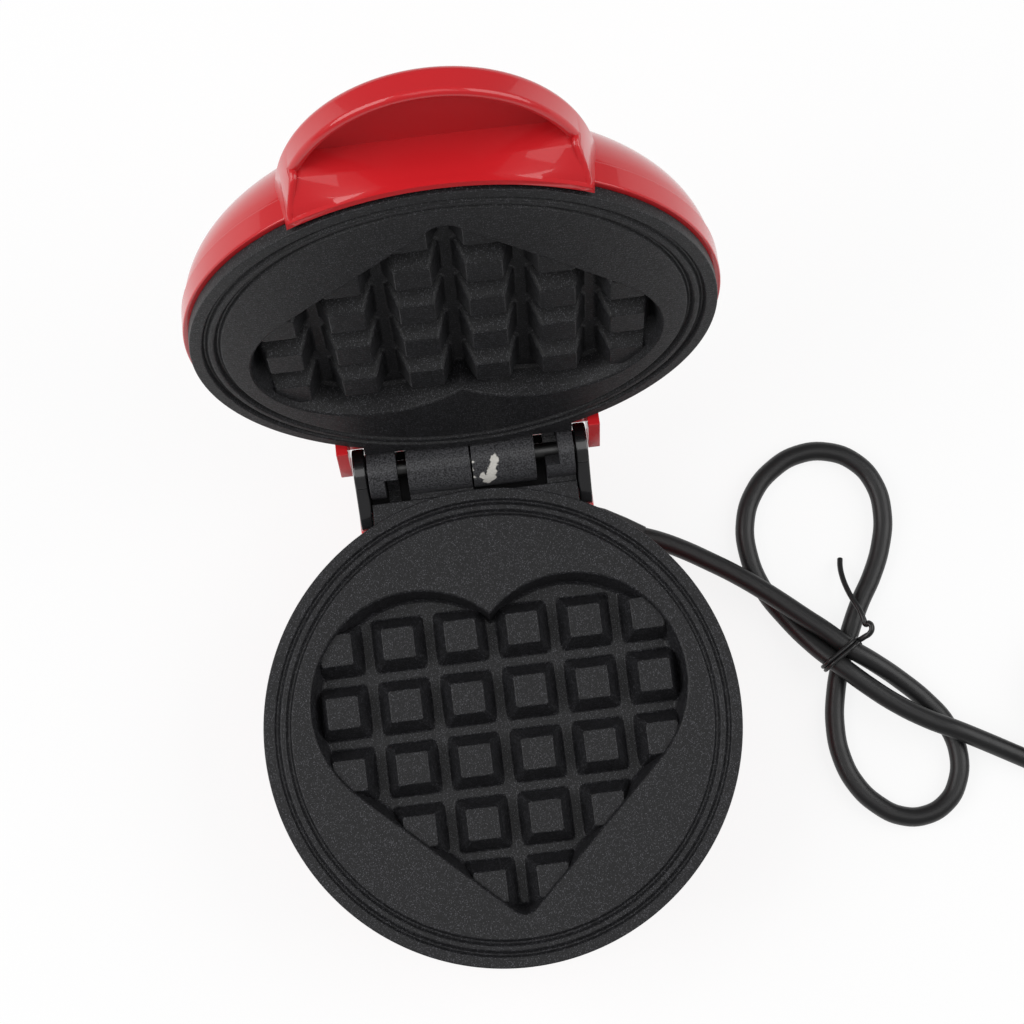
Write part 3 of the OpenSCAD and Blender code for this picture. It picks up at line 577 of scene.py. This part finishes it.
def base_shell():
    def section(inset):
        return [(-EAR_IN + inset, SILL_Z + inset), (EAR_IN - inset, SILL_Z + inset),
                (EAR_IN - inset, NECK_Z + inset / 2), (REAR_HALF - inset, SHOULDER_Z),
                (REAR_HALF - inset, BASE_DEPTH - inset), (inset - REAR_HALF, BASE_DEPTH - inset),
                (inset - REAR_HALF, SHOULDER_Z), (-EAR_IN + inset, NECK_Z + inset / 2)]

    front = BLOCK_ROOT - 14
    # Bowl and block meet half way through the wall, so that no two faces lie on each other
    mid = WALL / 2
    inside = bowl_solid("inside", BASE_R - mid, SOLE_R, BASE_DEPTH - mid, LIP_Z - 1)
    block = bevelled(slab("block", section(0), front, REAR_BACK, "Y"), 1.2)
    hollow = slab("hollow", section(WALL), front - WALL, REAR_BACK - WALL, "Y")
    opening = slab("opening", section(mid), front - 1, REAR_BACK - WALL, "Y")
    sill = box("sill", (-SILL_HALF, BLOCK_ROOT - 5, 0), (SILL_HALF, BLOCK_ROOT + 15, SILL_Z))
    carve(block, ("DIFFERENCE", hollow), ("DIFFERENCE", inside))
    shell = bowl("base_shell_form", BASE_R, SOLE_R, BASE_DEPTH)
    carve(shell, ("DIFFERENCE", opening), ("UNION", block), ("DIFFERENCE", sill))
    outside = BASE_DEPTH + 1
    bores = []
    for at in BOSSES:
        carve(shell, ("UNION", rod("post", at, BOSS_R, BOSS_Z + 0.6, BASE_DEPTH - 1)))
        bores += [rod("bore", at, SCREW_BORE, BOSS_Z - 0.5, outside),
                  rod("sink", at, SINK_R, BASE_DEPTH - SINK_DEPTH, outside)]
    for at in FEET:
        bores.append(rod("stem", at, STEM_BORE, BASE_DEPTH - 4, outside))
    bores.append(rod("gland", GLAND_AT, GLAND_BORE, REAR_HALF - 4, REAR_HALF + 1, "X"))
    carve(shell, *[("DIFFERENCE", bore) for bore in bores])
    finish_mesh(shell)
    dress(shell, IN_BASE, RED, "base", "shell", "base_shell")


# ---------------------------------------------------------------- handle
HANDLE_W, FLARE, REACH, SIDE = 34.3, 1.5, PLATE_R + 24, PLATE_R - 17
TOP, ARCH, HANDLE_T, LOW, ROUND = 15.3, 8.2, 2.4, LIP_Z - 2.8, 2.0
FULL = TOP - ROUND
PANEL_R, PANEL_LINE, PANEL_FLAT, PANEL_Z = LID_R + 1.6, LID_R + 1, 0.92, 7
ROLL, BEAD = HANDLE_T / 2, 0.9


def narrowed(z):
    """How much the band draws in on each side at a level."""
    return FLARE * max(0, FULL - z) / (FULL - LOW)


def band_ring(z, inset, steps=72):
    """Half oval outline of the band at a level."""
    w, deep = HANDLE_W - inset - narrowed(z), REACH - inset - SIDE
    return [(w * math.cos(math.pi * k / steps), -SIDE - deep * math.sin(math.pi * k / steps), z)
            for k in range(steps + 1)]


def panel_ring(z, flat, n=44):
    """Outline behind the panel, which goes from the lid's arc (0) towards a straight line (1)."""
    w = HANDLE_W + 1
    line = []
    for k in range(-n, n + 1):
        x = -w * k / n
        curve = math.sqrt(PANEL_R ** 2 - x * x)
        line.append((x, -curve - flat * (PANEL_LINE - curve), z))
    return line + [(-w, 5 - SIDE, z), (w, 5 - SIDE, z)]


def side_at(z, inset, steps=900):
    """Where the band's wall meets the panel at this level, on the right: angle, x and y."""
    w, deep = HANDLE_W - inset - narrowed(z), REACH - inset - SIDE
    flat = PANEL_FLAT * min(1, max(0, (z - LOW - 1) / (PANEL_Z - 1 - LOW)))
    for k in range(steps):
        a = math.pi / 2 * k / steps
        x, y = w * math.cos(a), -SIDE - deep * math.sin(a)
        curve = math.sqrt((PANEL_R - BEAD) ** 2 - x * x)
        if y < -curve - flat * (PANEL_LINE - curve):
            return a, x, y


def rolled_edges():
    """Beads round the arch, up each side of the panel and along its lip."""
    level = ARCH + ROLL
    start = side_at(level, ROLL)[0]
    w, deep = HANDLE_W - ROLL - narrowed(level), REACH - ROLL - SIDE
    arch = [(w * math.cos(a), -SIDE - deep * math.sin(a), level)
            for a in [start + (math.pi - 2 * start) * k / 40 for k in range(41)]]
    low = LOW + BEAD
    up = []
    for z in (low + 0.6, 3, 4.5, 6, 7.5, level):
        _, x, y = side_at(z, BEAD)
        up.append((x, y, z))
    end = side_at(low, BEAD)[1] - 0.6
    lip = [(x, -math.sqrt((PANEL_R - BEAD) ** 2 - x * x), low)
           for x in [end * (1 - k / 14) for k in range(29)]]
    edge = up[::-1] + lip + [(-x, y, z) for x, y, z in up]
    return [tube("arch", arch, ROLL + 0.04), tube("edge", edge, BEAD)]


def handle():
    turns = [math.pi / 2 * k / 8 for k in range(9)]
    form = skin("handle_form", [band_ring(LOW, 0)]
                + [band_ring(FULL + ROUND * math.sin(a), ROUND * (1 - math.cos(a))) for a in turns])
    roof = TOP - HANDLE_T
    inner = skin("inner", [band_ring(-10, HANDLE_T), band_ring(roof - 1.5, HANDLE_T),
                           band_ring(roof - 0.4, HANDLE_T + 0.6), band_ring(roof, HANDLE_T + 1.8)])
    under = box("under", (-HANDLE_W - 1, -REACH - 1, -10), (HANDLE_W + 1, -SIDE, ARCH + ROLL))
    rise = 10
    panel = skin("panel", [panel_ring(-11, 0)]
                 + [panel_ring(LOW + 1 + (PANEL_Z - LOW - 1) * k / rise,
                               PANEL_FLAT * (k / rise) ** 0.8) for k in range(rise + 1)]
                 + [panel_ring(TOP + 2, PANEL_FLAT)])
    carve(inner, ("UNION", under), ("DIFFERENCE", panel))
    lid = bowl_solid("lid", LID_R, CROWN_R, CROWN_H, LIP_Z)
    mouth = rod("mouth", (0, 0), LID_R, -1, LIP_Z + 0.01, steps=160)
    carve(form, ("DIFFERENCE", inner), ("DIFFERENCE", lid), ("DIFFERENCE", mouth))
    carve(form, *[("UNION", bead) for bead in rolled_edges()])
    # The beads reach into the lid's rim, so its room is cleared again
    mouth = rod("mouth", (0, 0), LID_R - 0.03, -1, LIP_Z + 0.3, steps=140)
    carve(form, ("DIFFERENCE", mouth))
    finish_mesh(form, flats=False)
    dress(form, IN_LID, RED, "lid", "shell", "handle")


# ---------------------------------------------------------------- cast plates
FACE, SEAT_R, SEAT_Z, CAST_H, FIELD_R = 0.2, PLATE_R - 2.9, 7, 11, PLATE_R - 7
GROOVE_DEPTH, GROOVE_BEVEL, CAST_ROUND = 0.9, 0.35, 0.42
MOULD, TAPER, PITCH, FOOT, CROWN, BLOCK_H = 7.5, 0.955, 15.8, 13.2, 8.0, 6.0
ROWS = (2, 4, 6, 6, 6)

# Knuckles, and the finger on one side that runs in the other casting's notch
INNER, OUTER = (-16.2, -0.2), (18.7, 26.1)
TAB_END, TAB_DROP, WEB_DROP, PIN_BORE = 59.3, 0.5, 1.4, 2.05
FINGER_W, FINGER_R, FINGER_FROM, FINGER_TO = 3, 3.6, 231, 250
NOTCH_W = 3.5
NOTCH_FROM = 360 - FINGER_TO - math.degrees(OPEN) - 2.5
NOTCH_TO = 360 - FINGER_FROM + 2


def axle(name, x0, x1, r, edge=0.35):
    """Turned rod along the hinge axis with its ends eased."""
    obj = lathe(name, rounded([(0, x0), (r, x0), (r, x1), (0, x1)], edge), 96)
    obj.data.transform(Matrix.Translation((0, HINGE_BACK, 0)) @ Matrix.Rotation(math.pi / 2, 4, "Y"))
    return obj


def heart(grow, size, z, steps=44, ends=8):
    """Outline of the mould, grown by so much and scaled about the middle."""
    lobe_x, lobe_y, lobe_r, tip_r, tip = 19.5, 8, 28 + grow, 4 + grow, -43
    dx, dy = -lobe_x, tip - lobe_y
    flank = math.atan2(dy, dx) + math.acos((lobe_r - tip_r) / math.hypot(dx, dy))
    notch = math.acos(-lobe_x / lobe_r)
    half = [(lobe_x + lobe_r * math.cos(a), lobe_y + lobe_r * math.sin(a))
            for a in [notch + (flank - notch) * k / steps for k in range(1, steps + 1)]]
    half += [(tip_r * math.cos(a), tip + tip_r * math.sin(a))
             for a in [flank + (-math.pi / 2 - flank) * k / ends for k in range(ends + 1)]]
    top = (0, lobe_y + math.sqrt(lobe_r ** 2 - lobe_x ** 2))
    points = [top] + half + [(-x, y) for x, y in half[-2::-1]]
    return [(x * size, y * size, z) for x, y in points]


def square(half, corner, z, n=4):
    """Square outline with round corners."""
    out = []
    for quarter, (cx, cy) in enumerate(((1, 1), (-1, 1), (-1, -1), (1, -1))):
        for i in range(n + 1):
            a = math.pi / 2 * (quarter + i / n)
            out.append((cx * (half - corner) + corner * math.cos(a),
                        cy * (half - corner) + corner * math.sin(a), z))
    return out


def blocks(floor_z, turn):
    """The waffle blocks in their rows, as one mesh, with their top edges eased."""
    slope = (FOOT - CROWN) / 2 / BLOCK_H
    edge, top = 0.45, floor_z + BLOCK_H
    stack = [square(FOOT / 2 + slope, 1.3, floor_z - 1), square(FOOT / 2 + 0.5, 1.3, floor_z),
             square(FOOT / 2 - slope * 0.5, 1.2, floor_z + 0.5)]
    stack += [square(CROWN / 2 + slope * edge - edge * (1 - math.cos(a)), 0.9,
                     top - edge + edge * math.sin(a)) for a in turn]
    n = len(stack[0])
    verts, faces = [], []
    for row, count in enumerate(ROWS):
        for i in range(count):
            at = Vector(((i - (count - 1) / 2) * PITCH, (row - len(ROWS) / 2) * PITCH, 0))
            first = len(verts)
            verts += [Vector(p) + at for ring in stack for p in ring]
            faces.append([first + k for k in range(n)])
            faces.append([first + n * (len(stack) - 1) + k for k in range(n)])
            faces += [[first + r * n + k, first + r * n + (k + 1) % n,
                       first + (r + 1) * n + (k + 1) % n, first + (r + 1) * n + k]
                      for r in range(len(stack) - 1) for k in range(n)]
    return mesh_object("blocks", verts, faces)


def mould():
    """The heart's hollow, less its blocks, with a rolled lip and a round foot."""
    floor_z, lip, foot = -FACE - MOULD, 0.5, 0.9

    def ring(grow, z):
        return heart(grow, 1 - (1 - TAPER) * min(1, max(0, -z - FACE) / MOULD), z)

    turn = [math.pi / 2 * k / 4 for k in range(5)]
    rings = [ring(lip, 1)]
    rings += [ring(lip - lip * math.sin(a), -FACE - lip + lip * math.cos(a)) for a in turn]
    rings += [ring(foot * (math.cos(a) - 1), floor_z + foot - foot * math.sin(a)) for a in turn]
    return carve(skin("hollow", rings), ("DIFFERENCE", blocks(floor_z, turn)))


def knuckles():
    """Webs, knuckles, finger, bosses and the pin's bore, as steps for carve()."""
    web = rounded([(TAB_END - 1, -SEAT_Z), (HINGE_BACK, -SEAT_Z), (HINGE_BACK, -FACE - WEB_DROP),
                   (TAB_END - 1, -FACE - WEB_DROP)], 0.3)
    notch = [(HINGE_BACK - 0.3, -0.3)]
    notch += arc(HINGE_BACK, 0, KNUCKLE_R + 2, NOTCH_FROM, NOTCH_TO, 6)
    parts = []
    for x0, x1 in (INNER, OUTER):
        knuckle = axle("knuckle", x0, x1, KNUCKLE_R)
        if x0 == OUTER[0]:
            carve(knuckle, ("DIFFERENCE", slab("notch", notch, x0 - 0.5, x0 + NOTCH_W, "X")))
        parts += [("UNION", slab("web", web, x0, x1, "X")), ("UNION", knuckle)]
    outer_points = arc(HINGE_BACK, 0, KNUCKLE_R + 0.4, FINGER_FROM, FINGER_TO, 1)[:1]
    finger = [(TAB_END - 1, -SEAT_Z), (TAB_END - 1, -SEAT_Z + 1.8)] + outer_points
    finger += arc(HINGE_BACK, 0, FINGER_R, FINGER_FROM, FINGER_TO, 1)
    finger.append((HINGE_BACK - SEAT_Z / math.tan(math.radians(FINGER_TO)), -SEAT_Z))
    parts.append(("UNION", slab("finger", rounded(finger, 0.3), -OUTER[0] - FINGER_W - 0.1,
                                -OUTER[0] - 0.1, "X")))
    parts += [("UNION", rod("boss", at, BOSS_R, -BOSS_Z, -SEAT_Z)) for at in BOSSES]
    parts.append(("DIFFERENCE", axle("bore", INNER[0] - 1, OUTER[1] + 1, PIN_BORE, 0.01)))
    return parts


def casting():
    face, low, bevel = -FACE, -FACE - GROOVE_DEPTH, GROOVE_BEVEL
    bead, outer, rim = FIELD_R + 1.3, FIELD_R + 2.9, PLATE_R - 2.8
    profile = [(0, face), (FIELD_R, face), (FIELD_R + bevel, low), (bead - bevel, low),
               (bead + 0.2, face), (outer - 0.2, face), (outer + bevel, low), (rim - bevel, low),
               (rim, face), (PLATE_R, face), (PLATE_R, -LIP_Z), (SEAT_R, -LIP_Z),
               (SEAT_R, -SEAT_Z), (FIELD_R, -SEAT_Z), (FIELD_R - 1, -CAST_H), (0, -CAST_H)]
    disc = lathe("casting", rounded(profile, CAST_ROUND), 192)
    tab = slab("tab", rounded([(BLOCK_ROOT, -SEAT_Z), (TAB_END, -SEAT_Z), (TAB_END, face - TAB_DROP),
                               (BLOCK_ROOT, face - TAB_DROP)], 0.4), -OUTER[1], OUTER[1], "X")
    carve(tab, ("DIFFERENCE", rod("round", (0, 0), PLATE_R - 1, -9, 1, steps=192)))
    carve(disc, ("UNION", tab), ("DIFFERENCE", mould()))
    return carve(disc, *knuckles())


def plates():
    lower = finish_mesh(casting())
    lower.name = "lower_casting"
    upper = link_object("upper_casting", lower.data.copy())
    dress(lower, ON_BASE, PLATE, "base", "plate", "lower_plate")
    dress(upper, IN_LID @ Matrix.Rotation(math.pi, 4, "Y"), PLATE, "lid", "plate", "upper_plate")


# ---------------------------------------------------------------- cheeks and saddle
# How far in front of the hinge the cheeks' feet begin
CHEEK_FOOT = 11.4


def eased(node, width, mat, reach=0):
    """Copy of a small node of the base with its edges rounded and its front foot drawn out."""
    mesh = nodes[node].data.copy()
    mesh.transform(Matrix.Diagonal((1 / MM, 1 / MM, 1 / MM, 1)))
    for v in mesh.vertices:
        if reach and v.co.y < HINGE.y / MM - CHEEK_FOOT:
            v.co.y -= reach
    obj = link_object(node + "_eased", mesh)
    with editing(mesh) as bm:
        bmesh.ops.remove_doubles(bm, verts=bm.verts, dist=0.004)
        bmesh.ops.dissolve_limit(bm, angle_limit=math.radians(0.4), verts=bm.verts, edges=bm.edges)
    bevelled(obj, width, angle=32, miter="MITER_ARC")
    finish_mesh(obj, smooth=40)
    dress(obj, Matrix.Identity(4), mat, "base", "cheek", node)


lid_shell()
base_shell()
handle()
plates()
for side in ("left", "right"):
    eased("hinge_cheek_" + side, 0.5, BLACK_GLOSS, reach=1.7)
eased("hinge_saddle", 0.3, SADDLE)


# ---------------------------------------------------------------- cord
CORD_D = 5.1
ROUTE = [
    (42.5, 12.2, 9.4), (46.7, 10.6, 9.1), (53.1, 7.4, 8.6), (59.2, 3.7, 8.2), (65.2, -0.2, 7.9),
    (71.1, -4.6, 7.8), (76.8, -9.3, 7.8), (82.5, -14.3, 8), (87.3, -18.4, 8.2), (92.3, -23.1, 8.2),
    (98.7, -27.9, 7.2), (105.6, -33.5, 4.7), (112, -39.9, 3), (116.4, -46.4, 2.6),
    (118.5, -55.1, 2.6), (116.9, -62.3, 2.6), (113.6, -66.7, 2.6), (107.8, -69.4, 2.6),
    (101.1, -68.8, 2.6), (95.4, -65.2, 2.6), (90.6, -59.4, 2.6), (87.7, -51.6, 2.6),
    (87.2, -43, 2.6), (88.6, -34.6, 2.6), (91, -27.1, 2.6), (94.4, -19.5, 2.6), (98.1, -12.1, 2.6),
    (102.6, -4.8, 2.6), (106, 2.9, 2.6), (107.7, 11.1, 2.6), (106.6, 19.5, 2.6), (102.4, 25.8, 2.6),
    (95.5, 29.5, 2.6), (87.2, 29.7, 2.6), (80.3, 26.7, 2.6), (74.3, 21, 2.6), (70.9, 13.2, 2.6),
    (70.6, 4.7, 2.6), (73, -4.5, 2.6), (78, -13.3, 3.6), (84.4, -22.1, 6.6), (90.1, -28, 8.2),
    (96.2, -33.8, 8), (103.3, -39.7, 7.8), (110.9, -44.7, 7.8), (118, -48.4, 7.7),
    (125.1, -52.2, 6.2), (132.2, -56.1, 4.4), (139, -59.9, 3.2), (145.8, -63.7, 2.6),
    (152.5, -67.4, 2.6)]
COIL, COIL_R = (172.4, -46.9), 25
COIL_OUT, COIL_IN = COIL_R + CORD_D / 2, COIL_R - CORD_D / 2
COIL_START, COIL_END = 241.3, 1440
COIL_LOW, COIL_HIGH = 2.6, 7.65
PLUG_X, PLUG_Z = COIL[0] + COIL_OUT, 7


def coil_points(steps=80):
    """Turns that lie beside and on each other: outer low, inner low, inner high, outer high."""
    stages = [(COIL_START + turn, r, z) for turn, r, z in
              ((0, COIL_OUT, COIL_LOW), (300, COIL_OUT, COIL_LOW), (360, COIL_IN, COIL_LOW),
               (600, COIL_IN, COIL_LOW), (660, COIL_IN, COIL_HIGH), (900, COIL_IN, COIL_HIGH),
               (960, COIL_OUT, COIL_HIGH))]
    stages.append((COIL_END, COIL_OUT, COIL_HIGH))
    out = []
    for k in range(steps + 1):
        turn = COIL_START + (COIL_END - COIL_START) * k / steps
        for (a0, r0, z0), (a1, r1, z1) in zip(stages, stages[1:]):
            if turn <= a1 + 1e-6:
                u = (turn - a0) / (a1 - a0)
                u = u * u * (3 - 2 * u)
                r, z = r0 + (r1 - r0) * u, z0 + (z1 - z0) * u
                break
        a = math.radians(turn)
        out.append((COIL[0] + r * math.cos(a), COIL[1] + r * math.sin(a), z))
    return out


# Twist tie: where it grips, its turn, and the run of its loose end
TIE_AT, TIE_TURN = (90.5, -25.2), math.radians(-58)
TIE_WIRE, TIE_TAIL_WIRE = 0.55, 0.75
TIE_TAIL = [(93.9, -22.9, 7.4), (95.3, -22.2, 8.6), (97.0, -21.4, 10.2), (98.5, -20.6, 10.9),
            (99.1, -19.2, 11.2), (98.6, -18.0, 10.8), (97.8, -18.2, 10.2), (97.5, -17.0, 10.2),
            (96.8, -14.0, 9.4), (95.7, -11.0, 7.9), (94.8, -7.6, 6.0), (94.4, -4.2, 4.0),
            (94.5, -1.4, 2.4), (94.9, 0.6, 1.4)]


def twist_tie():
    """Wire tie: two turns round the upper strands, a small knot loop and its loose end."""
    half, r = CORD_D + 0.6, (CORD_D + 1.2) / 2
    across = TIE_TURN + math.pi / 2

    def turn(shift, lift):
        out = []
        for k in range(33):
            a = math.tau * (k / 32 + 0.02)
            x = math.copysign(half - r, math.cos(a)) + r * math.cos(a)
            z = CORD_D + r + lift + r * math.sin(a)
            along = shift + 0.9 * k / 32
            out.append((TIE_AT[0] + x * math.cos(across) + along * math.cos(TIE_TURN),
                        TIE_AT[1] + x * math.sin(across) + along * math.sin(TIE_TURN), z))
        return out

    tie = tube("twist_tie", turn(-1.0, 0.05), TIE_WIRE)
    carve(tie, ("UNION", tube("turn", turn(0.1, 0.1), TIE_WIRE)),
          ("UNION", tube("tail", TIE_TAIL, TIE_TAIL_WIRE)))
    finish_mesh(tie)
    return dress(tie, Matrix.Identity(4), TIE, "base", "tie_band", "cord_tie")


def mains_cord():
    points = ROUTE + coil_points() + [(PLUG_X, y, PLUG_Z) for y in (-43, -37, -31, -25)]
    obj = curve_object("mains_cord", points, CORD_D / 2, fineness=6)
    paint(obj, CORD)
    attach(obj, "base")
    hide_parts("cord", "cord_coil", "cord_tail")
    tie = twist_tie()


mains_cord()


# ---------------------------------------------------------------- stage and light
FLOOR_HALF, FLOOR_GREY, FLOOR_GLOW = 6.0, 0.82, 0.85
WORLD_GLOW = 0.27
# Each lamp's place and side in metres, and its watts
LAMP_AIM = Vector((0, 0, 0.03))
LAMPS = {"key": ((-1.15, 0.15, 1.05), 1.2, 19), "fill": ((1.15, 0.05, 1.0), 1.2, 14),
         "top": ((0.05, -0.15, 1.5), 0.9, 3.5)}


def floor_material():
    """Grey that takes shadows, mixed with white for what is seen directly, mirrored or through."""
    mat = bpy.data.materials.new("floor")
    mat.use_nodes = True
    tree = mat.node_tree
    tree.nodes.clear()
    path = tree.nodes.new("ShaderNodeLightPath")
    seen = path.outputs["Is Camera Ray"]
    for ray in ("Is Glossy Ray", "Is Transmission Ray"):
        either = tree.nodes.new("ShaderNodeMath")
        either.operation = "MAXIMUM"
        tree.links.new(seen, either.inputs[0])
        tree.links.new(path.outputs[ray], either.inputs[1])
        seen = either.outputs[0]
    part = tree.nodes.new("ShaderNodeMath")
    part.operation = "MULTIPLY"
    part.inputs[1].default_value = FLOOR_GLOW
    tree.links.new(seen, part.inputs[0])
    soft = tree.nodes.new("ShaderNodeBsdfDiffuse")
    soft.inputs["Color"].default_value = (FLOOR_GREY, FLOOR_GREY, FLOOR_GREY, 1)
    glow = tree.nodes.new("ShaderNodeEmission")
    glow.inputs["Color"].default_value = (1, 1, 1, 1)
    blend = tree.nodes.new("ShaderNodeMixShader")
    for index, socket in enumerate((part.outputs[0], soft.outputs[0], glow.outputs[0])):
        tree.links.new(socket, blend.inputs[index])
    out = tree.nodes.new("ShaderNodeOutputMaterial")
    tree.links.new(blend.outputs[0], out.inputs["Surface"])
    return mat


def floor():
    mesh = bpy.data.meshes.new("floor")
    s = FLOOR_HALF
    mesh.from_pydata([(-s, -s, 0), (s, -s, 0), (s, s, 0), (-s, s, 0)], [], [(0, 1, 2, 3)])
    mesh.materials.append(floor_material())
    link_object("floor", mesh)


def light():
    for name, (at, size, watts) in LAMPS.items():
        data = bpy.data.lights.new(name, "AREA")
        data.size = size
        data.energy = watts
        lamp = link_object(name, data)
        lamp.location = at
        lamp.rotation_euler = (LAMP_AIM - Vector(at)).to_track_quat("-Z", "Y").to_euler()
    world = bpy.data.worlds.new("world")
    world.use_nodes = True
    background = world.node_tree.nodes["Background"]
    background.inputs["Color"].default_value = (1, 1, 1, 1)
    background.inputs["Strength"].default_value = WORLD_GLOW
    bpy.context.scene.world = world


floor()
light()
bpy.context.scene.view_settings.view_transform = "Standard"
